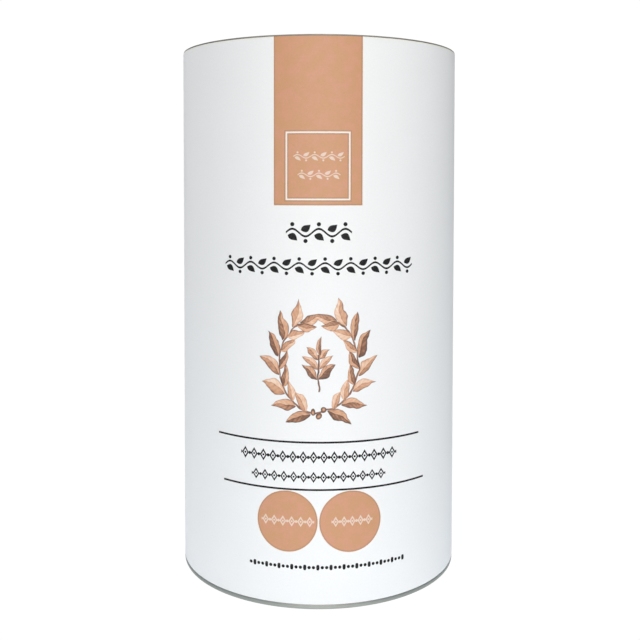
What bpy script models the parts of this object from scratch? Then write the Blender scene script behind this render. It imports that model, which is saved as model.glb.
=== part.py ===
"""Round paperboard tube of a mushroom grow kit, with its paper label, plug lid and metal base.

Lengths are in metres and +Z is up. The origin is the middle of the ring that the tube stands on,
and the middle of the label's front faces -Y. Four pieces, each a solid of its own:

    tube    the spiral-wound paperboard body, open at both ends
    label   the printed paper, wrapped once round the tube with a narrow lap down the back
    lid     a pressed tinplate disc that plugs the top, with a thin flange on the tube's edge
    base    a pressed tinplate disc that plugs the bottom, with the rolled rim that it stands on
"""

import math

import bmesh
import bpy
from mathutils import Matrix

# The whole object
HEIGHT = 0.1889
OUTER_RADIUS = 0.0510
FACETS = 64
JOINT_GAP = 0.0003

# Paperboard body, under the label
TUBE_OUTER_RADIUS = 0.0504
TUBE_WALL = 0.0020

# Paper label and the lap of its two upright edges
LABEL_THICKNESS = 0.0003
LAP_WIDTH = 0.0120
LAP_RISE = 0.00015
LAP_STEP_WIDTH = 0.0002

# Tinplate ends: the pressed sheet, the plug's fit and depth in the tube, and the flange
SHEET = 0.0003
PLUG_CLEARANCE = 0.0004
PANEL_DEPTH = 0.0056
PANEL_CORNER = 0.0010
FLANGE_SHOULDER = 0.0006
FLANGE_INSET = 0.0002
LID_FLANGE_THICKNESS = 0.0004
BASE_FLANGE_THICKNESS = 0.0012

# What the panels are pressed with: a low disc in the lid and a low ring in the base
LID_DISC_RADIUS = 0.0370
BASE_RING_RADII = (0.0300, 0.0370)
PRESSING_HEIGHT = 0.0008
PRESSING_SLOPE = 0.0010

# Where the pieces meet
TUBE_BOTTOM = BASE_FLANGE_THICKNESS + JOINT_GAP
TUBE_TOP = HEIGHT - LID_FLANGE_THICKNESS - JOINT_GAP
TUBE_INNER_RADIUS = TUBE_OUTER_RADIUS - TUBE_WALL
LABEL_INNER_RADIUS = OUTER_RADIUS - LABEL_THICKNESS
PLUG_RADIUS = TUBE_INNER_RADIUS - PLUG_CLEARANCE
FLANGE_RADIUS = OUTER_RADIUS - FLANGE_INSET

# Straight steps in a quarter turn of a rounded corner, and the reach within which points are one
CORNER_STEPS = 3
MERGE_REACH = 1e-6


def clear_scene():
    for item in list(bpy.data.objects):
        bpy.data.objects.remove(item)


def make_material(name, colour, roughness, metallic=0.0):
    material = bpy.data.materials.new(name)
    material.use_nodes = True
    shader = material.node_tree.nodes["Principled BSDF"]
    shader.inputs["Base Color"].default_value = (*colour, 1.0)
    shader.inputs["Roughness"].default_value = roughness
    shader.inputs["Metallic"].default_value = metallic
    return material


def make_object(name, shape, material):
    """Turns a bmesh into the scene object of one piece, with its round walls shaded smooth."""
    mesh = bpy.data.meshes.new(name)
    shape.to_mesh(mesh)
    shape.free()
    mesh.shade_smooth()
    mesh.set_sharp_from_angle(angle=math.radians(35))
    mesh.materials.append(material)
    piece = bpy.data.objects.new(name, mesh)
    bpy.context.scene.collection.objects.link(piece)
    return piece


def turned(profile, closed):
    """Spins (radius, height) points about Z into one closed solid with its faces outwards."""
    shape = bmesh.new()
    points = [shape.verts.new((radius, 0.0, height)) for radius, height in profile]
    followers = points[1:] + points[:1] if closed else points[1:]
    edges = [shape.edges.new(pair) for pair in zip(points, followers)]
    bmesh.ops.spin(
        shape,
        geom=points + edges,
        cent=(0.0, 0.0, 0.0),
        axis=(0.0, 0.0, 1.0),
        angle=math.tau,
        steps=FACETS,
        use_merge=True,
        use_duplicate=False,
    )
    bmesh.ops.remove_doubles(shape, verts=shape.verts[:], dist=MERGE_REACH)
    bmesh.ops.recalc_face_normals(shape, faces=shape.faces[:])
    return shape


def arc(centre, radius, start_degrees, end_degrees):
    """Points along an arc in the plane of a turned profile, its two ends included."""
    steps = round(abs(end_degrees - start_degrees) / 90 * CORNER_STEPS)
    turn = math.radians(end_degrees - start_degrees)
    angles = [math.radians(start_degrees) + turn * i / steps for i in range(steps + 1)]
    return [(centre[0] + radius * math.cos(a), centre[1] + radius * math.sin(a)) for a in angles]


def end_profile(flange_thickness, panel):
    """Half section of a plug end: over its open side, round the flange and back underneath.

    The flange's outer face is at height 0 and the plug hangs below it. panel lists (radius, rise)
    points from the axis out, where rise is how far that part is pressed towards the open side.
    """
    wall_radius = PLUG_RADIUS - SHEET
    corner_centre = (wall_radius - PANEL_CORNER, PANEL_CORNER - PANEL_DEPTH)
    edge_radius = flange_thickness / 2

    open_side = [(radius, rise - PANEL_DEPTH) for radius, rise in panel]
    open_side += arc(corner_centre, PANEL_CORNER, -90, 0)
    open_side += arc((wall_radius + FLANGE_SHOULDER, -FLANGE_SHOULDER), FLANGE_SHOULDER, 180, 90)
    open_side += arc((FLANGE_RADIUS - edge_radius, -edge_radius), edge_radius, 90, -90)

    tube_side = [(radius, rise - PANEL_DEPTH - SHEET) for radius, rise in panel]
    tube_side += arc(corner_centre, PANEL_CORNER + SHEET, -90, 0)
    tube_side.append((PLUG_RADIUS, -flange_thickness))
    return open_side + tube_side[::-1]


def make_tube(material):
    wall = [
        (TUBE_INNER_RADIUS, TUBE_BOTTOM),
        (TUBE_OUTER_RADIUS, TUBE_BOTTOM),
        (TUBE_OUTER_RADIUS, TUBE_TOP),
        (TUBE_INNER_RADIUS, TUBE_TOP),
    ]
    return make_object("tube", turned(wall, closed=True), material)


def make_label(material):
    """A sleeve whose outside steps up at the back, where the free edge laps over the first one."""
    lap_centre = math.pi / 2
    lap_half = LAP_WIDTH / 2 / OUTER_RADIUS
    free_edge = lap_centre - lap_half
    foot_of_step = free_edge - LAP_STEP_WIDTH / OUTER_RADIUS
    angles = sorted([math.tau * i / FACETS for i in range(FACETS)] + [foot_of_step, free_edge])

    def ring(radius_at):
        corners = [
            shape.verts.new((radius_at(a) * math.cos(a), radius_at(a) * math.sin(a), TUBE_BOTTOM))
            for a in angles
        ]
        return [shape.edges.new(pair) for pair in zip(corners, corners[1:] + corners[:1])]

    def outside(angle):
        return OUTER_RADIUS + (LAP_RISE if free_edge <= angle <= lap_centre + lap_half else 0.0)

    shape = bmesh.new()
    bmesh.ops.bridge_loops(shape, edges=ring(lambda angle: LABEL_INNER_RADIUS) + ring(outside))
    lifted = bmesh.ops.extrude_face_region(shape, geom=shape.faces[:])["geom"]
    bmesh.ops.translate(
        shape,
        verts=[item for item in lifted if isinstance(item, bmesh.types.BMVert)],
        vec=(0.0, 0.0, TUBE_TOP - TUBE_BOTTOM),
    )
    bmesh.ops.recalc_face_normals(shape, faces=shape.faces[:])
    return make_object("label", shape, material)


def make_lid(material):
    panel = [
        (0.0, PRESSING_HEIGHT),
        (LID_DISC_RADIUS, PRESSING_HEIGHT),
        (LID_DISC_RADIUS + PRESSING_SLOPE, 0.0),
    ]
    shape = turned(end_profile(LID_FLANGE_THICKNESS, panel), closed=False)
    bmesh.ops.translate(shape, verts=shape.verts[:], vec=(0.0, 0.0, HEIGHT))
    return make_object("lid", shape, material)


def make_base(material):
    """The same pressing turned over, so that its flange is the rim that the tube stands on."""
    inner, outer = BASE_RING_RADII
    panel = [
        (0.0, 0.0),
        (inner, 0.0),
        (inner + PRESSING_SLOPE, PRESSING_HEIGHT),
        (outer, PRESSING_HEIGHT),
        (outer + PRESSING_SLOPE, 0.0),
    ]
    shape = turned(end_profile(BASE_FLANGE_THICKNESS, panel), closed=False)
    half_turn = Matrix.Rotation(math.pi, 3, "X")
    bmesh.ops.rotate(shape, verts=shape.verts[:], cent=(0.0, 0.0, 0.0), matrix=half_turn)
    return make_object("base", shape, material)


clear_scene()
tinplate = make_material("tinplate", (0.62, 0.63, 0.61), 0.32, metallic=1.0)
make_tube(make_material("paperboard", (0.42, 0.30, 0.19), 0.85))
make_label(make_material("label_paper", (0.86, 0.87, 0.88), 0.55))
make_lid(tinplate)
make_base(tinplate)
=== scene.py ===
import math

import bmesh
import bpy
from mathutils import Matrix, Vector, noise


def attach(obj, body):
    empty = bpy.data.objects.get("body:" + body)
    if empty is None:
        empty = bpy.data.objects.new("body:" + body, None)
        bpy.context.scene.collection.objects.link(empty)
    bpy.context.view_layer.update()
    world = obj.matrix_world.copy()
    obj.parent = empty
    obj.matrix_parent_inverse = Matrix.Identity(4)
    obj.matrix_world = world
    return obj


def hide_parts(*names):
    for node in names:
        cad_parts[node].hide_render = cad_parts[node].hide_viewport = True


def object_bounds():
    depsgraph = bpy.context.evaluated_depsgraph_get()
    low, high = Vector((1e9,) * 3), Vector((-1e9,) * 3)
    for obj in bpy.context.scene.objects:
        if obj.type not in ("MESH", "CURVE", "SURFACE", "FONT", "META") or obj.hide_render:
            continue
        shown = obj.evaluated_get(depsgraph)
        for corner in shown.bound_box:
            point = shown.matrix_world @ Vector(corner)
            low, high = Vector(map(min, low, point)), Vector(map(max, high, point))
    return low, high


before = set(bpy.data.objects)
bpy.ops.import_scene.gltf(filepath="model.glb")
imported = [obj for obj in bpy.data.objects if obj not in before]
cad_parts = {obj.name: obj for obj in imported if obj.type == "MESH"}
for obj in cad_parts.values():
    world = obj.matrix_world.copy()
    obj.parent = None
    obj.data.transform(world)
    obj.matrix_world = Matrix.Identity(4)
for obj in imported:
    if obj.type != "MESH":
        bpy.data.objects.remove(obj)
cad_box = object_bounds()


# The body is brown paperboard, wound in spiral plies round a former and cut to length. It stands on
# the rolled rim of the base, and the lid's flange lies on its upper end. Both ends are hidden.
HEIGHT = cad_box[1].z
WALL_INSIDE = 0.0484
WALL_OUTSIDE = 0.05074
RIM_HEIGHT = 0.00158
LID_HEM = 0.00050
BOARD_LOW = RIM_HEIGHT + 0.00001
BOARD_HIGH = HEIGHT - LID_HEM - 0.00001
BOARD_ARRIS = 0.0003
TURN_STEPS = 256


def spun(profile, closed):
    """Spins a half section of (radius, height) points about the tube's axis into a closed skin."""
    shape = bmesh.new()
    points = [shape.verts.new((radius, 0.0, height)) for radius, height in profile]
    followers = points[1:] + points[:1] if closed else points[1:]
    edges = [shape.edges.new(pair) for pair in zip(points, followers)]
    bmesh.ops.spin(
        shape,
        geom=points + edges,
        cent=(0.0, 0.0, 0.0),
        axis=(0.0, 0.0, 1.0),
        angle=math.tau,
        steps=TURN_STEPS,
        use_merge=True,
        use_duplicate=False,
    )
    bmesh.ops.remove_doubles(shape, verts=shape.verts[:], dist=1e-7)
    bmesh.ops.recalc_face_normals(shape, faces=shape.faces[:])
    return shape


def fitted(name, shape, materials, node):
    """Makes the piece that stands for a CAD node, with the given materials, under the root body, and
    hides that node.
    """
    mesh = bpy.data.meshes.new(name)
    shape.to_mesh(mesh)
    shape.free()
    mesh.shade_smooth()
    mesh.set_sharp_from_angle(angle=math.radians(32))
    for material in materials:
        mesh.materials.append(material)
    piece = bpy.data.objects.new(name, mesh)
    bpy.context.scene.collection.objects.link(piece)
    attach(piece, "root")
    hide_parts(node)
    return piece


def new_material(name):
    """An empty node material: gives it with its node tree and its Principled shader."""
    material = bpy.data.materials.new(name)
    material.use_nodes = True
    return material, material.node_tree, material.node_tree.nodes["Principled BSDF"]


def add(tree, kind, inputs=None, **settings):
    """A node with its settings; each of its named inputs is linked, or holds a plain value."""
    made = tree.nodes.new(kind)
    for name, value in settings.items():
        setattr(made, name, value)
    for name, value in (inputs or {}).items():
        join(made.inputs[name], value)
    return made


def join(socket, value):
    if isinstance(value, bpy.types.NodeSocket):
        socket.id_data.links.new(value, socket)
    else:
        socket.default_value = value


def calc(operation, *values):
    """A Math node among the nodes of its linked values."""
    tree = next(value.id_data for value in values if isinstance(value, bpy.types.NodeSocket))
    made = tree.nodes.new("ShaderNodeMath")
    made.operation = operation
    for socket, value in zip(made.inputs, values):
        join(socket, value)
    return made.outputs["Value"]


def spread(value, low, high, to_low=0.0, to_high=1.0):
    """Value taken from low..high to to_low..to_high on a smooth curve, and held at the ends."""
    inputs = {"Value": value, "From Min": low, "From Max": high}
    inputs |= {"To Min": to_low, "To Max": to_high}
    kind = "ShaderNodeMapRange"
    return add(value.id_data, kind, inputs, interpolation_type="SMOOTHSTEP").outputs["Result"]


def mottle(where, size, detail=2.0, roughness=0.5, stretch=(1.0, 1.0, 1.0)):
    """Cloudy noise from 0 to 1 with patches of about size metres, longer where stretch is over 1."""
    scale = [1.0 / (size * longer) for longer in stretch]
    place = add(where.id_data, "ShaderNodeMapping", {"Vector": where, "Scale": scale})
    inputs = {"Vector": place.outputs["Vector"], "Scale": 1.0}
    inputs |= {"Detail": detail, "Roughness": roughness}
    return add(where.id_data, "ShaderNodeTexNoise", inputs).outputs["Fac"]


def blend(below, above, share):
    """Colour below with colour above laid over it by a share from 0 to 1."""
    made = add(share.id_data, "ShaderNodeMix", data_type="RGBA")
    factor, first, second = (made.inputs[i] for i in (0, 6, 7))
    join(factor, share)
    join(first, below)
    join(second, above)
    return made.outputs[2]


def relief(height, depth, over=None):
    """Bump of a 0 to 1 height field that is depth metres deep."""
    inputs = {"Height": height, "Distance": depth}
    if over is not None:
        inputs["Normal"] = over
    return add(height.id_data, "ShaderNodeBump", inputs).outputs["Normal"]


def board_material():
    """Kraft board: long fibres run with the winding, and each ply's butt joint is a fine groove."""
    ply_pitch = 0.075
    joint_share = 0.006
    material, tree, shader = new_material("wound_board")
    place = add(tree, "ShaderNodeTexCoord").outputs["Object"]
    axes = add(tree, "ShaderNodeSeparateXYZ", {"Vector": place}).outputs
    turn = calc("DIVIDE", calc("ARCTAN2", axes["Y"], axes["X"]), math.tau)
    winding = calc("FRACT", calc("ADD", turn, calc("DIVIDE", axes["Z"], ply_pitch)))
    off_joint = spread(calc("PINGPONG", winding, 0.5), 0.0, joint_share)
    fibres = mottle(place, 0.0016, detail=4.0, stretch=(2.0, 2.0, 0.6))
    clouds = mottle(place, 0.014)
    brown = blend((0.34, 0.235, 0.145, 1.0), (0.46, 0.33, 0.21, 1.0), fibres)
    brown = blend(brown, (0.40, 0.29, 0.19, 1.0), spread(clouds, 0.35, 0.7))
    brown = blend((0.20, 0.135, 0.085, 1.0), brown, off_joint)
    join(shader.inputs["Base Color"], brown)
    join(shader.inputs["Roughness"], spread(fibres, 0.2, 0.8, 0.78, 0.92))
    grooves = relief(off_joint, 0.0001)
    join(shader.inputs["Normal"], relief(fibres, 0.00004, over=grooves))
    return material


board_section = [
    (WALL_INSIDE, BOARD_LOW + BOARD_ARRIS),
    (WALL_INSIDE + BOARD_ARRIS, BOARD_LOW),
    (WALL_OUTSIDE - BOARD_ARRIS, BOARD_LOW),
    (WALL_OUTSIDE, BOARD_LOW + BOARD_ARRIS),
    (WALL_OUTSIDE, BOARD_HIGH - BOARD_ARRIS),
    (WALL_OUTSIDE - BOARD_ARRIS, BOARD_HIGH),
    (WALL_INSIDE + BOARD_ARRIS, BOARD_HIGH),
    (WALL_INSIDE, BOARD_HIGH - BOARD_ARRIS),
]
fitted("tube_board", spun(board_section, closed=True), [board_material()], "tube")


# The label is one sheet of satin white paper. It is made here as the real one is: cut flat, printed
# on one face, then rolled round the board and glued down with its free edge lapped at the back.
LABEL_RADIUS = 0.0510
PAPER = 0.0002
GLUE = 0.00001
LAP = 0.0120
LAP_RAMP = 0.0014
LABEL_LOW = RIM_HEIGHT + 0.00003
LABEL_HIGH = HEIGHT - LID_HEM - 0.00003
SHEET_HALF = math.pi * LABEL_RADIUS + LAP / 2
SHEET_COLUMNS = 480
SHEET_ROWS = 40
SHEET_WAVE = 0.00003
PRINT_MAP = "sheet"
BAKE_MAP = "OFBake"
# Where each stretch of the sheet goes on the bake map: the printed middle gets the most room
PRINTED_HALF = 0.0430
BAKE_STOPS = (
    (-SHEET_HALF, 0.002),
    (-PRINTED_HALF, 0.130),
    (PRINTED_HALF, 0.830),
    (SHEET_HALF, 0.958),
)
BAKE_BACK = (0.964, 0.984)
BAKE_EDGE = (0.990, 0.996)


def bake_place(along, up, part):
    """Place of a point of the flat sheet on the bake map, for its printed face, back or edge."""
    high = (up - LABEL_LOW) / (LABEL_HIGH - LABEL_LOW)
    if part == "print":
        stretches = list(zip(BAKE_STOPS, BAKE_STOPS[1:]))
        (start, left), (end, right) = next(
            (pair for pair in stretches if along <= pair[1][0]), stretches[-1]
        )
        return left + (right - left) * (along - start) / (end - start), high
    left, right = BAKE_BACK if part == "back" else BAKE_EDGE
    return left + (right - left) * (along + SHEET_HALF) / (2 * SHEET_HALF), high


def rolled_radius(along, up):
    """Radius of the sheet's printed face: it climbs over its own first edge to make the lap."""
    climb = (along - (SHEET_HALF - LAP - LAP_RAMP)) / LAP_RAMP
    climb = min(max(climb, 0.0), 1.0)
    climb = climb * climb * (3 - 2 * climb)
    ripple = SHEET_WAVE * noise.noise((along * 40, up * 25, 0.0))
    return LABEL_RADIUS + (PAPER + GLUE) * climb + ripple


def make_label_sheet():
    flat = bmesh.new()
    size = Matrix.Diagonal((2 * SHEET_HALF, LABEL_HIGH - LABEL_LOW, 1.0, 1.0))
    middle = Matrix.Translation((0.0, (LABEL_LOW + LABEL_HIGH) / 2, 0.0))
    bmesh.ops.create_grid(
        flat, x_segments=SHEET_COLUMNS, y_segments=SHEET_ROWS, size=0.5, matrix=middle @ size
    )
    back = bmesh.ops.extrude_face_region(flat, geom=flat.faces[:])["geom"]
    back = [item for item in back if isinstance(item, bmesh.types.BMVert)]
    bmesh.ops.translate(flat, verts=back, vec=(0.0, 0.0, -PAPER))
    bmesh.ops.recalc_face_normals(flat, faces=flat.faces[:])

    printed = flat.loops.layers.uv.new(PRINT_MAP)
    baked = flat.loops.layers.uv.new(BAKE_MAP)
    for face in flat.faces:
        face.normal_update()
        part = "edge" if abs(face.normal.z) < 0.5 else "print" if face.normal.z > 0 else "back"
        face.material_index = 0 if part == "print" else 1
        for corner in face.loops:
            along, up, _ = corner.vert.co
            corner[printed].uv = (along, up)
            corner[baked].uv = bake_place(along, up, part)

    for vert in flat.verts:
        along, up, depth = vert.co
        radius = rolled_radius(along, up) + depth
        turn = along / LABEL_RADIUS
        vert.co = (radius * math.sin(turn), -radius * math.cos(turn), up)
    return flat


# The printing is drawn in millimetres on the flat sheet, from the middle of the front to the right
# and from the table up. It is tan, dark grey and brown ink. Where the tan is left out, paper shows.
INK_BLEED = 0.05
BAND = (-14.95, 14.40, 133.48, 190.0)
BADGE = (-10.98, 10.36, 135.12, 157.48)
BADGE_LINE = 0.56
DISCS = ((-10.57, 29.14, 10.28, 10.19), (10.78, 29.10, 10.53, 10.22))
RULES = ((-37.4, 37.5, 55.28, 55.93), (-34.9, 40.0, 39.56, 40.20))
TAN = (0.598, 0.308, 0.160, 1.0)
TAN_PINK = (0.628, 0.310, 0.190, 1.0)
SQUEEZE = 0.60
SQUEEZED_TAN = (0.350, 0.205, 0.130, 1.0)
FILLED_IN = 0.58
DARK_INK = (0.019, 0.018, 0.019, 1.0)
PAPER_WHITE = (0.866, 0.867, 0.870, 1.0)
PAPER_SHADE = (0.836, 0.836, 0.837, 1.0)
PAPER_GLOSS = 0.36
WARMED = 0.40
WARMED_PAPER = (0.890, 0.780, 0.690, 1.0)
TRIM_STAIN = 0.0006
TRIM_COLOUR = (0.850, 0.825, 0.755, 1.0)


def calc_vector(operation, *values):
    """A Vector Math node; gives its vector, or its number where the operation makes one."""
    tree = next(value.id_data for value in values if isinstance(value, bpy.types.NodeSocket))
    made = tree.nodes.new("ShaderNodeVectorMath")
    made.operation = operation
    for socket, value in zip(made.inputs, values):
        join(socket, value)
    return made.outputs["Value" if operation in ("DISTANCE", "LENGTH") else "Vector"]


def across_and_up(spot):
    axes = add(spot.id_data, "ShaderNodeSeparateXYZ", {"Vector": spot}).outputs
    return axes["X"], axes["Y"]


def spot_at(across, up):
    tree = across.id_data
    return add(tree, "ShaderNodeCombineXYZ", {"X": across, "Y": up}).outputs["Vector"]


def inked(distance, bleed=INK_BLEED):
    """Cover of the ink: 1 inside a shape, where distance is under 0, with an edge that bleeds."""
    return spread(distance, -bleed, bleed, 1.0, 0.0)


def either(*covers):
    """The most cover that any of the shapes gives."""
    most = covers[0]
    for cover in covers[1:]:
        most = calc("MAXIMUM", most, cover)
    return most


def from_rectangle(spot, left, right, low, high):
    """Distance from a rectangle's outline, under 0 inside it."""
    centre = ((left + right) / 2, (low + high) / 2, 0.0)
    half = ((right - left) / 2, (high - low) / 2, 0.0)
    folded = calc_vector("ABSOLUTE", calc_vector("SUBTRACT", spot, centre))
    across, up = across_and_up(calc_vector("SUBTRACT", folded, half))
    return calc("MAXIMUM", across, up)


def from_disc(spot, across, up, radius):
    return calc("SUBTRACT", calc_vector("DISTANCE", spot, (across, up, 0.0)), radius)


def from_oval(spot, across, up, half_across, half_up):
    """About the distance from an upright oval's outline, under 0 inside it."""
    local = calc_vector("SUBTRACT", spot, (across, up, 0.0))
    rounded = calc_vector("MULTIPLY", local, (half_up / half_across, 1.0, 1.0))
    return calc("SUBTRACT", calc_vector("LENGTH", rounded), half_up)


def make_leaf_group():
    """Nodes of one pointed leaf, bowed and widest near its stalk, with the shading of its paint."""
    group = bpy.data.node_groups.new("leaf", "ShaderNodeTree")
    for name in ("Spot", "Middle", "Turn", "Half Size"):
        group.interface.new_socket(name, in_out="INPUT", socket_type="NodeSocketVector")
    for name in ("Cover", "Tone"):
        group.interface.new_socket(name, in_out="OUTPUT", socket_type="NodeSocketFloat")
    given = group.nodes.new("NodeGroupInput").outputs
    laid = {"Vector": given["Spot"], "Location": given["Middle"]}
    laid |= {"Rotation": given["Turn"], "Scale": given["Half Size"]}
    own = add(group, "ShaderNodeMapping", laid, vector_type="TEXTURE").outputs["Vector"]
    along, across = across_and_up(own)
    bow = calc("MULTIPLY", along, along)
    across = calc("MULTIPLY_ADD", bow, 0.35, across)
    taper = calc("MAXIMUM", calc("MULTIPLY_ADD", along, -0.38, 1.0), 0.1)
    half_width = calc("MULTIPLY", calc("SUBTRACT", 1.0, bow), taper)
    distance = calc("SUBTRACT", calc("ABSOLUTE", across), half_width)

    side = spread(across, -0.12, 0.12, -0.16, 0.16)
    pooled = spread(distance, -0.30, 0.0, 0.0, -0.30)
    midrib = spread(calc("ABSOLUTE", across), 0.03, 0.10, -0.26, 0.0)
    ribs = calc("SINE", calc("ADD", calc("MULTIPLY", along, 17.0),
                             calc("MULTIPLY", calc("ABSOLUTE", across), -9.0)))
    tone = calc("ADD", calc("ADD", side, pooled), midrib)
    tone = calc("ADD", tone, calc("MULTIPLY", ribs, 0.045))
    tone = calc("ADD", tone, calc("MULTIPLY", along, 0.07))
    result = group.nodes.new("NodeGroupOutput")
    join(result.inputs["Cover"], inked(distance, 0.06))
    join(result.inputs["Tone"], tone)
    return group


leaf_group = make_leaf_group()


def leaf(spot, middle, degrees, half_length, half_width):
    """One leaf's cover and tone, pointing at degrees from the right."""
    made = spot.id_data.nodes.new("ShaderNodeGroup")
    made.node_tree = leaf_group
    join(made.inputs["Spot"], spot)
    join(made.inputs["Middle"], (*middle, 0.0))
    join(made.inputs["Turn"], (0.0, 0.0, math.radians(degrees)))
    join(made.inputs["Half Size"], (half_length, half_width, 1.0))
    return made.outputs["Cover"], made.outputs["Tone"]


def row_cells(spot, left, up, pitch):
    """Splits a row into cells of one pitch: the cell's number, and the spot's place in the cell."""
    across, rise = across_and_up(calc_vector("SUBTRACT", spot, (left, up, 0.0)))
    number = calc("FLOOR", calc("DIVIDE", across, pitch))
    return number, calc("FLOORED_MODULO", across, pitch), rise


def in_row(spot, left, up, cells, pitch, reach):
    """1 between the row's two ends and 0 past them, so that it holds whole cells only."""
    return inked(from_rectangle(spot, left, left + cells * pitch, up - reach, up + reach), 0.01)


def vine_row(spot, left, up, cells, pitch, reach):
    """A running vine: a waving stem, a leaf in each of its hollows and a berry over each crest."""
    number, across, rise = row_cells(spot, left, up, pitch)
    flip = calc("MULTIPLY_ADD", calc("FLOORED_MODULO", number, 2.0), -2.0, 1.0)
    rise = calc("MULTIPLY", rise, flip)
    wave = calc("MULTIPLY", calc("SINE", calc("MULTIPLY", across, math.pi / pitch)), 0.34 * reach)
    off_stem = calc("ABSOLUTE", calc("SUBTRACT", rise, wave))
    stem = inked(calc("SUBTRACT", off_stem, 0.10 * reach))
    cell_spot = spot_at(across, rise)
    leaf_place = (0.56 * pitch, -0.38 * reach)
    frond, _ = leaf(cell_spot, leaf_place, -30.0, 0.42 * pitch, 0.31 * reach)
    berry = inked(from_disc(cell_spot, 0.5 * pitch, 0.76 * reach, 0.19 * reach))
    return calc("MULTIPLY", either(stem, frond, berry), in_row(spot, left, up, cells, pitch, reach))


def lozenge_row(spot, left, up, cells, pitch, reach):
    """A chain of open lozenges with a dot between each two."""
    _, across, rise = row_cells(spot, left, up, pitch)
    across = calc("ABSOLUTE", calc("SUBTRACT", across, pitch / 2))
    rise = calc("ABSOLUTE", rise)
    slant = calc("ADD", calc("DIVIDE", across, 0.34 * pitch), calc("DIVIDE", rise, 0.84 * reach))
    line = calc("SUBTRACT", calc("ABSOLUTE", calc("SUBTRACT", slant, 0.86)), 0.24)
    lozenge = inked(calc("MULTIPLY", line, 0.28 * pitch))
    dot = inked(from_disc(spot_at(across, rise), pitch / 2, 0.0, 0.24 * reach))
    core = inked(from_disc(spot_at(across, rise), 0.0, 0.0, 0.17 * reach))
    marks = either(lozenge, dot, core)
    return calc("MULTIPLY", marks, in_row(spot, left, up, cells, pitch, reach))


def dotted_row(spot, left, up, cells, pitch, reach):
    """A fine row of dots, each third one drawn out to an upright dash."""
    number, across, rise = row_cells(spot, left, up, pitch)
    third = calc("COMPARE", calc("FLOORED_MODULO", number, 3.0), 1.0, 0.5)
    short = calc("DIVIDE", rise, calc("MULTIPLY_ADD", third, 1.1, 1.0))
    dot = inked(from_disc(spot_at(across, short), pitch / 2, 0.0, 0.60 * reach))
    return calc("MULTIPLY", dot, in_row(spot, left, up, cells, pitch, reach))


# The wreath: two leafy branches that spring from one point and close to a ring over it, with three
# berries at their foot and an upright sprig inside
WREATH_MIDDLE = (0.0, 81.2)
WREATH_RING = 13.2
WREATH_TALL = 1.17
BRANCH_HALF = 0.26
BRANCH_END = 156.0
PAIRS = 7
FIRST_PAIR = 13.0
PAIR_STEP = 21.5
OUTER_LEAF = (4.3, 1.62, -37.0)
INNER_LEAF = (3.3, 1.30, 41.0)
TIP_LEAF = (3.9, 1.45)
SPRIG_STEM = (-7.6, 3.0)
SPRIG_LEAVES = ((-3.9, 3.4, 1.30), (-0.9, 3.0, 1.15), (1.9, 2.5, 1.00))
SPRIG_LEAN = 38.0
SPRIG_TIP = (2.6, 1.00)
BERRIES = ((0.0, -14.3, 1.0), (1.75, -12.9, 0.9))
WATERCOLOUR = (
    (0.00, (0.080, 0.028, 0.013, 1.0)),
    (0.24, (0.230, 0.092, 0.045, 1.0)),
    (0.48, (0.590, 0.295, 0.165, 1.0)),
    (0.72, (0.735, 0.435, 0.275, 1.0)),
    (1.00, (0.880, 0.680, 0.540, 1.0)),
)


def on_ring(degrees):
    """Place on the wreath's right-hand branch, counted up from the foot of the ring."""
    turn = math.radians(degrees)
    return WREATH_RING * math.sin(turn), -WREATH_RING * math.cos(turn)


def leaf_on_branch(spot, degrees, half_length, half_width, lean):
    """A leaf whose stalk end meets the branch, leaning out of the ring or into it."""
    heading = math.radians(degrees + lean)
    across, up = on_ring(degrees)
    middle = (across + half_length * math.cos(heading), up + half_length * math.sin(heading))
    return leaf(spot, middle, degrees + lean, half_length, half_width)


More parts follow.
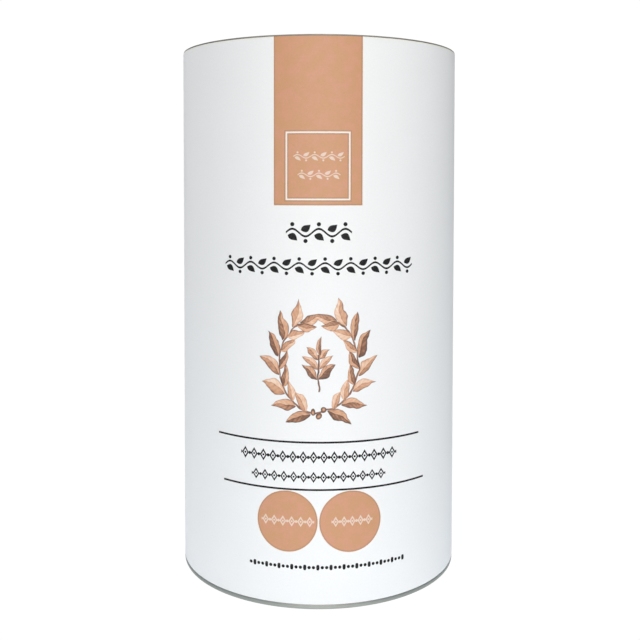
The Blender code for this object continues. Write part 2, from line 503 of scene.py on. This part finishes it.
def wreath(spot):
    """Cover and colour of the painted wreath; the hand's wander keeps its halves from matching."""
    local = calc_vector("SUBTRACT", spot, (*WREATH_MIDDLE, 0.0))
    wander = add(spot.id_data, "ShaderNodeTexNoise", {"Vector": spot, "Scale": 0.16})
    shift = calc_vector("SUBTRACT", wander.outputs["Color"], (0.5, 0.5, 0.5))
    local = calc_vector("ADD", local, calc_vector("MULTIPLY", shift, (3.0, 3.0, 0.0)))
    local = calc_vector("MULTIPLY", local, (1.0, 1.0 / WREATH_TALL, 1.0))
    across, up = across_and_up(local)
    mirrored = calc("ABSOLUTE", across)
    spot_right = spot_at(mirrored, up)
    from_foot = calc("MULTIPLY", calc("ARCTAN2", mirrored, calc("MULTIPLY", up, -1.0)),
                     180.0 / math.pi)

    ring = calc("ABSOLUTE", calc("SUBTRACT", calc_vector("LENGTH", spot_right), WREATH_RING))
    cover = inked(calc("SUBTRACT", ring, BRANCH_HALF))
    cover = calc("MULTIPLY", cover, spread(from_foot, BRANCH_END - 1, BRANCH_END + 1, 1.0, 0.0))
    stem = from_rectangle(spot_right, -BRANCH_HALF, BRANCH_HALF, *SPRIG_STEM)
    cover = either(cover, inked(stem))
    tone = spread(ring, 0.0, BRANCH_HALF, 0.30, 0.16)

    parts = [leaf_on_branch(spot_right, BRANCH_END - 3, *TIP_LEAF, 12.0)]
    for i in range(PAIRS):
        degrees = FIRST_PAIR + PAIR_STEP * i
        parts.append(leaf_on_branch(spot_right, degrees + 5.0, *INNER_LEAF))
        parts.append(leaf_on_branch(spot_right, degrees, *OUTER_LEAF))
    for stalk, *half_size in SPRIG_LEAVES:
        lean = math.radians(SPRIG_LEAN)
        middle = (half_size[0] * math.cos(lean), stalk + half_size[0] * math.sin(lean))
        parts.append(leaf(spot_right, middle, SPRIG_LEAN, *half_size))
    parts.append(leaf(local, (0.0, SPRIG_STEM[1] + SPRIG_TIP[0] - 0.2), 90.0, *SPRIG_TIP))
    painted = [
        (part, calc("ADD", shade, 0.56 + 0.17 * math.sin(2.4 * i)))
        for i, (part, shade) in enumerate(parts)
    ]
    for *middle, radius in BERRIES:
        off_berry = from_disc(spot_right, *middle, radius)
        painted.append((inked(off_berry), spread(off_berry, -radius, 0.0, 0.62, 0.05)))
    for part, shade in painted:
        under = calc("MULTIPLY", tone, calc("SUBTRACT", 1.0, part))
        tone = calc("ADD", under, calc("MULTIPLY", shade, part))
        cover = calc("MAXIMUM", cover, part)

    wash = add(spot.id_data, "ShaderNodeTexNoise", {"Vector": spot, "Scale": 0.55, "Detail": 4.0})
    wash = calc("MULTIPLY", calc("SUBTRACT", wash.outputs["Fac"], 0.5), 0.55)
    ramp = add(spot.id_data, "ShaderNodeValToRGB", {"Fac": calc("ADD", tone, wash)})
    stops = ramp.color_ramp.elements
    while len(stops) < len(WATERCOLOUR):
        stops.new(0.5)
    for stop, (place, colour) in zip(stops, WATERCOLOUR):
        stop.position = place
        stop.color = colour
    return cover, ramp.outputs["Color"]


def paper_finish(tree, shader, colour, gloss_share):
    """Satin sheen and the fine tooth of the paper; gloss_share is where ink has smoothed it."""
    place = add(tree, "ShaderNodeTexCoord").outputs["Object"]
    tooth = mottle(place, 0.00032, detail=3.0)
    pillow = mottle(place, 0.0030, detail=2.0)
    join(shader.inputs["Base Color"], colour)
    rough = spread(pillow, 0.25, 0.75, 0.52, 0.60)
    if gloss_share is not None:
        rough = calc("SUBTRACT", rough, calc("MULTIPLY", gloss_share, 0.05))
    join(shader.inputs["Roughness"], rough)
    shader.inputs["Specular IOR Level"].default_value = PAPER_GLOSS
    join(shader.inputs["Normal"], relief(tooth, 0.000006, over=relief(pillow, 0.00002)))


def printed_paper():
    material, tree, shader = new_material("printed_label_paper")
    metres = add(tree, "ShaderNodeUVMap", uv_map=PRINT_MAP).outputs["UV"]
    spot = calc_vector("SCALE", metres)
    spot.node.inputs["Scale"].default_value = 1000.0
    feather = add(tree, "ShaderNodeTexNoise", {"Vector": spot, "Scale": 2.6, "Detail": 2.0})
    feather = calc_vector("SUBTRACT", feather.outputs["Color"], (0.5, 0.5, 0.5))
    spot = calc_vector("ADD", spot, calc_vector("MULTIPLY", feather, (0.10, 0.10, 0.0)))

    badge_line = calc("ABSOLUTE", calc("ADD", from_rectangle(spot, *BADGE), BADGE_LINE / 2))
    fine_white = either(
        vine_row(spot, -8.4, 149.4, 6, 2.8, 1.7),
        vine_row(spot, -7.0, 143.4, 5, 2.8, 1.7),
        lozenge_row(spot, -19.4, 29.2, 6, 3.0, 1.9),
        lozenge_row(spot, 4.3, 29.2, 5, 2.8, 1.9),
    )
    solids = [from_rectangle(spot, *BAND), *(from_oval(spot, *disc) for disc in DISCS)]
    solids = calc("MINIMUM", solids[0], calc("MINIMUM", solids[1], solids[2]))
    off_tan = calc("MAXIMUM", solids, calc("SUBTRACT", BADGE_LINE / 2, badge_line))
    tan = calc("MULTIPLY", inked(off_tan), calc("MULTIPLY_ADD", fine_white, -FILLED_IN, 1.0))
    dark = either(
        vine_row(spot, -10.9, 124.6, 5, 4.36, 3.6),
        vine_row(spot, -34.0, 113.6, 16, 4.24, 3.15),
        *(inked(from_rectangle(spot, *rule)) for rule in RULES),
        lozenge_row(spot, -27.3, 50.7, 16, 3.42, 2.2),
        lozenge_row(spot, -23.1, 44.1, 14, 3.3, 2.0),
        dotted_row(spot, -24.1, 14.0, 38, 1.45, 0.9),
    )
    painted, paint = wreath(spot)

    blooms = add(tree, "ShaderNodeTexNoise", {"Vector": spot, "Scale": 0.24, "Detail": 4.0})
    grain = add(tree, "ShaderNodeTexNoise", {"Vector": spot, "Scale": 1.4, "Detail": 3.0})
    tan_ink = blend(TAN, TAN_PINK, spread(blooms.outputs["Fac"], 0.38, 0.64))
    squeezed = spread(off_tan, -SQUEEZE, -SQUEEZE / 3, 0.0, 0.55)
    squeezed = calc("ADD", squeezed, spread(grain.outputs["Fac"], 0.3, 0.7, 0.0, 0.08))
    tan_ink = blend(tan_ink, SQUEEZED_TAN, squeezed)
    cloudy = spread(grain.outputs["Fac"], 0.3, 0.8, 0.0, 0.55)
    paper = blend(PAPER_WHITE, PAPER_SHADE, cloudy)
    _, up = across_and_up(metres)
    trimmed = spread(up, LABEL_HIGH - TRIM_STAIN, LABEL_HIGH - TRIM_STAIN / 2, 0.0, 0.8)
    paper = blend(paper, TRIM_COLOUR, trimmed)
    paper = blend(paper, WARMED_PAPER, spread(solids, 0.0, WARMED, 0.8, 0.0))
    colour = blend(paper, tan_ink, tan)
    full_dark = spread(grain.outputs["Fac"], 0.2, 0.5, 0.96, 1.0)
    colour = blend(colour, DARK_INK, calc("MULTIPLY", dark, full_dark))
    colour = blend(colour, paint, calc("MULTIPLY", painted, 0.97))
    paper_finish(tree, shader, colour, either(tan, dark, painted))
    join(shader.inputs["Specular IOR Level"], spread(dark, 0.0, 1.0, PAPER_GLOSS, 0.08))
    return material


def bare_paper():
    """The sheet's unprinted back and its cut edges."""
    material, tree, shader = new_material("bare_label_paper")
    place = add(tree, "ShaderNodeTexCoord").outputs["Object"]
    colour = blend(PAPER_WHITE, (0.78, 0.76, 0.71, 1.0), mottle(place, 0.0012, detail=3.0))
    paper_finish(tree, shader, colour, None)
    return material


label_papers = [printed_paper(), bare_paper()]
fitted("label_sheet", make_label_sheet(), label_papers, "label")


# The two ends are tinplate discs pressed to plugs. The sheet's edge is turned out over the board and
# hemmed: a thin flat hem on the lid, and on the base a rolled one that the tube stands on.
SHEET = 0.00028
PLUG_RADIUS = 0.0480
PANEL_DEPTH = 0.0056
PANEL_CORNER = 0.0010
SHOULDER = 0.0006
PRESSING = 0.0008
CORNER_STEPS = 8
HEM_SQUARENESS = 0.52
# Colour of the painted shade in the seam where each hem meets the label
SEAM_SHADE = (0.25, 0.26, 0.245, 1.0)


def arc(centre, radius, start_degrees, end_degrees):
    steps = round(abs(end_degrees - start_degrees) / 90 * CORNER_STEPS)
    turn = math.radians(end_degrees - start_degrees)
    angles = [math.radians(start_degrees) + turn * i / steps for i in range(steps + 1)]
    return [(centre[0] + radius * math.cos(a), centre[1] + radius * math.sin(a)) for a in angles]


def eased(start, end):
    """Points of a pressed step that leaves one level softly and meets the next softly."""
    shares = [i / CORNER_STEPS for i in range(CORNER_STEPS + 1)]
    return [
        (
            start[0] + (end[0] - start[0]) * share,
            start[1] + (end[1] - start[1]) * share * share * (3 - 2 * share),
        )
        for share in shares
    ]


def hem_profile(hem, bulge, radius):
    """Outer side of a hem, from its open face down: a soft square that bulges out to radius."""
    points = []
    for i in range(2 * CORNER_STEPS + 1):
        turn = math.pi * (0.5 - i / (2 * CORNER_STEPS))
        out = abs(math.cos(turn)) ** HEM_SQUARENESS
        rise = math.copysign(abs(math.sin(turn)) ** HEM_SQUARENESS, math.sin(turn))
        points.append((radius - bulge + bulge * out, hem / 2 * (rise - 1.0)))
    return points


def plug_profile(panel, hem, bulge, flange_radius):
    """Half section of an end with its flange's outer face at height 0 and the plug under it."""
    wall = PLUG_RADIUS - SHEET
    corner = (wall - PANEL_CORNER, PANEL_CORNER - PANEL_DEPTH)
    open_side = [(radius, rise - PANEL_DEPTH) for radius, rise in panel]
    open_side += arc(corner, PANEL_CORNER, -90, 0)
    open_side += arc((wall + SHOULDER, -SHOULDER), SHOULDER, 180, 90)
    open_side += hem_profile(hem, bulge, flange_radius)
    tube_side = [(radius, rise - PANEL_DEPTH - SHEET) for radius, rise in panel]
    tube_side += arc(corner, PANEL_CORNER + SHEET, -90, 0)
    tube_side.append((PLUG_RADIUS, -hem))
    return open_side + tube_side[::-1]


def tinplate(name, light, dark, hemmed, dulled, shade_start, shade_deepest):
    """Dull tin with straight rolling grain, soft clouds and fine scuffs. The hem is dulled by that much
    roughness, and darkened by painted shade of the seam where it meets the label, between the last two
    heights given."""
    material, tree, shader = new_material(name)
    place = add(tree, "ShaderNodeTexCoord").outputs["Object"]
    grain = mottle(place, 0.00035, detail=3.0, stretch=(60.0, 1.0, 1.0))
    clouds = mottle(place, 0.007, detail=3.0)
    scuffs = mottle(place, 0.0010, detail=1.0, stretch=(1.0, 14.0, 1.0))
    colour = blend(dark, light, spread(clouds, 0.30, 0.70))
    height = add(tree, "ShaderNodeSeparateXYZ", {"Vector": place}).outputs["Z"]
    # Painted shade: the hem darkens towards the label, as if shade gathered in the seam
    hem_colour = blend(hemmed, SEAM_SHADE, spread(height, shade_start, shade_deepest, 0.0, 0.7))
    flat_place = calc_vector("MULTIPLY", place, (1.0, 1.0, 0.0))
    on_hem = spread(calc_vector("LENGTH", flat_place), 0.0503, 0.0507)
    join(shader.inputs["Base Color"], blend(colour, hem_colour, on_hem))
    shader.inputs["Metallic"].default_value = 1.0
    rough = calc("ADD", spread(clouds, 0.3, 0.7, 0.31, 0.37), spread(scuffs, 0.55, 0.75, 0.0, 0.04))
    join(shader.inputs["Roughness"], calc("MULTIPLY_ADD", on_hem, dulled, rough))
    dents = relief(clouds, 0.00003)
    join(shader.inputs["Normal"], relief(grain, 0.000003, over=dents))
    return material


LID_DISC = 0.0370
lid_panel = [(0.0, PRESSING)] + eased((LID_DISC, PRESSING), (LID_DISC + 0.0014, 0.0))
lid_shape = spun(plug_profile(lid_panel, LID_HEM, LID_HEM / 2, 0.0509), closed=False)
bmesh.ops.translate(lid_shape, verts=lid_shape.verts[:], vec=(0.0, 0.0, HEIGHT))
tin_light = (0.62, 0.63, 0.60, 1.0)
tin_dark = (0.55, 0.56, 0.53, 1.0)
lid_hemmed = (0.430, 0.415, 0.375, 1.0)
# The lid's hem takes painted seam shade over its lower half
lid_seam_shade = (HEIGHT - LID_HEM / 2, HEIGHT - LID_HEM)
lid_tin = tinplate("lid_tinplate", tin_light, tin_dark, lid_hemmed, 0.40, *lid_seam_shade)
fitted("lid_pressing", lid_shape, [lid_tin], "lid")

BASE_RING = (0.0300, 0.0380)
base_panel = [(0.0, 0.0)] + eased((BASE_RING[0], 0.0), (BASE_RING[0] + 0.0014, PRESSING))
base_panel += eased((BASE_RING[1] - 0.0014, PRESSING), (BASE_RING[1], 0.0))
rim_profile = plug_profile(base_panel, RIM_HEIGHT, 0.00032, LABEL_RADIUS - 0.00003)
base_shape = spun(rim_profile, closed=False)
half_turn = Matrix.Rotation(math.pi, 3, "X")
bmesh.ops.rotate(base_shape, verts=base_shape.verts[:], cent=(0.0, 0.0, 0.0), matrix=half_turn)
base_hemmed = (0.475, 0.480, 0.440, 1.0)
# The base's hem takes painted seam shade over its upper two thirds
base_seam_shade = (RIM_HEIGHT / 3, RIM_HEIGHT)
base_tin = tinplate("base_tinplate", tin_light, tin_dark, base_hemmed, 0.20, *base_seam_shade)
fitted("base_pressing", base_shape, [base_tin], "base")


# The studio: a white table top that runs out of sight, a large soft box before the tube, one over it
# and one behind each of its sides, so that the paper is darkest just before its left and right edges.
FLOOR_RADIUS = 1.0
TUBE_MIDDLE = (0.0, 0.0, 0.09)


def backdrop(surface, seen, lit, plain):
    """Shows the camera a plain white and every other ray the lit shader."""
    made = add(surface.id_data, "ShaderNodeMixShader")
    for socket, value in zip(made.inputs, (seen, lit, plain)):
        join(socket, value)
    join(surface.inputs["Surface"], made.outputs["Shader"])


floor_shape = bmesh.new()
bmesh.ops.create_circle(floor_shape, cap_ends=True, segments=96, radius=FLOOR_RADIUS)
floor_mesh = bpy.data.meshes.new("table_top")
floor_shape.to_mesh(floor_mesh)
floor_shape.free()
floor = bpy.data.objects.new("table_top", floor_mesh)
bpy.context.scene.collection.objects.link(floor)

floor_material, floor_tree, floor_shader = new_material("white_table")
rays = add(floor_tree, "ShaderNodeLightPath").outputs
# Painted reflection: glossy rays see a darker, greyer copy of the table than other rays
floor_colour = blend((0.79, 0.89, 0.99, 1.0), (0.50, 0.58, 0.65, 1.0), rays["Is Glossy Ray"])
join(floor_shader.inputs["Base Color"], floor_colour)
floor_shader.inputs["Roughness"].default_value = 0.9
floor_shader.inputs["Specular IOR Level"].default_value = 0.1
floor_shader.inputs["Emission Color"].default_value = (0.90, 0.95, 1.0, 1.0)
floor_place = add(floor_tree, "ShaderNodeTexCoord").outputs["Object"]
# Painted light: the table glows in a pool round the tube and another before it, lighting the tube's
# foot and rim
glow_round_tube = spread(calc_vector("LENGTH", floor_place), 0.08, 0.35, 0.25, 0.0)
from_front = calc_vector("DISTANCE", floor_place, (-0.03, -0.10, 0.0))
glow_in_front = spread(from_front, 0.03, 0.20, 0.18, 0.0)
join(floor_shader.inputs["Emission Strength"], calc("ADD", glow_round_tube, glow_in_front))
plain_white = add(floor_tree, "ShaderNodeEmission", {"Color": (1, 1, 1, 1), "Strength": 1.02})
backdrop(
    floor_tree.nodes["Material Output"],
    rays["Is Camera Ray"],
    floor_shader.outputs["BSDF"],
    plain_white.outputs["Emission"],
)
floor_mesh.materials.append(floor_material)


def soft_box(name, place, size, power, colour, mirrored=True):
    """A square area light that faces the tube; power in watts. Gloss shows it only if mirrored."""
    data = bpy.data.lights.new(name, "AREA")
    data.shape = "SQUARE"
    data.size = size
    data.energy = power
    data.color = colour
    light = bpy.data.objects.new(name, data)
    light.location = place
    look = Vector(TUBE_MIDDLE) - Vector(place)
    light.rotation_euler = look.to_track_quat("-Z", "Y").to_euler()
    light.visible_glossy = mirrored
    bpy.context.scene.collection.objects.link(light)


soft_box("front_box", (0.06, -1.60, 0.22), 0.9, 19.9, (1.0, 0.970, 0.932))
soft_box("top_box", (0.3, 0.1, 1.8), 1.6, 19.1, (1.0, 0.978, 0.945))
soft_box("left_box", (-1.15, 0.96, 0.30), 0.9, 13.8, (1.0, 0.962, 0.918), mirrored=False)
soft_box("right_box", (0.90, 1.20, 0.30), 0.7, 4.6, (1.0, 0.962, 0.918), mirrored=False)

world = bpy.data.worlds.new("studio")
bpy.context.scene.world = world
world.use_nodes = True
dim = world.node_tree.nodes["Background"]
dim.inputs["Color"].default_value = (0.96, 0.98, 1.0, 1.0)
dim.inputs["Strength"].default_value = 0.12
bright = add(world.node_tree, "ShaderNodeBackground", {"Color": (1, 1, 1, 1), "Strength": 1.02})
backdrop(
    world.node_tree.nodes["World Output"],
    add(world.node_tree, "ShaderNodeLightPath").outputs["Is Camera Ray"],
    dim.outputs["Background"],
    bright.outputs["Background"],
)

# The camera stands before the tube at three quarters of its height and looks slightly down. The
# picture is cut from below its middle, which the lens shift gives.
CAMERA_DISTANCE = 0.3410
CAMERA_HEIGHT = 0.1396
CAMERA_TILT = 2.013
CAMERA_ROLL = 0.082
FOCAL_PIXELS = 892.4
PICTURE_SIDE = 640
AXIS_PIXEL = (318.9, 217.9)
camera_data = bpy.data.cameras.new("camera")
camera_data.sensor_width = 36.0
camera_data.lens = FOCAL_PIXELS / PICTURE_SIDE * camera_data.sensor_width
camera_data.shift_x = 0.5 - AXIS_PIXEL[0] / PICTURE_SIDE
camera_data.shift_y = AXIS_PIXEL[1] / PICTURE_SIDE - 0.5
camera_data.clip_start = 0.01
camera = bpy.data.objects.new("camera", camera_data)
camera.location = (0.0, -CAMERA_DISTANCE, CAMERA_HEIGHT)
level_view = Matrix.Rotation(math.radians(90.0 - CAMERA_TILT), 3, "X")
rolled_view = level_view @ Matrix.Rotation(math.radians(CAMERA_ROLL), 3, "Z")
camera.rotation_euler = rolled_view.to_euler()
bpy.context.scene.collection.objects.link(camera)
bpy.context.scene.camera = camera
bpy.context.scene.view_settings.view_transform = "Standard"
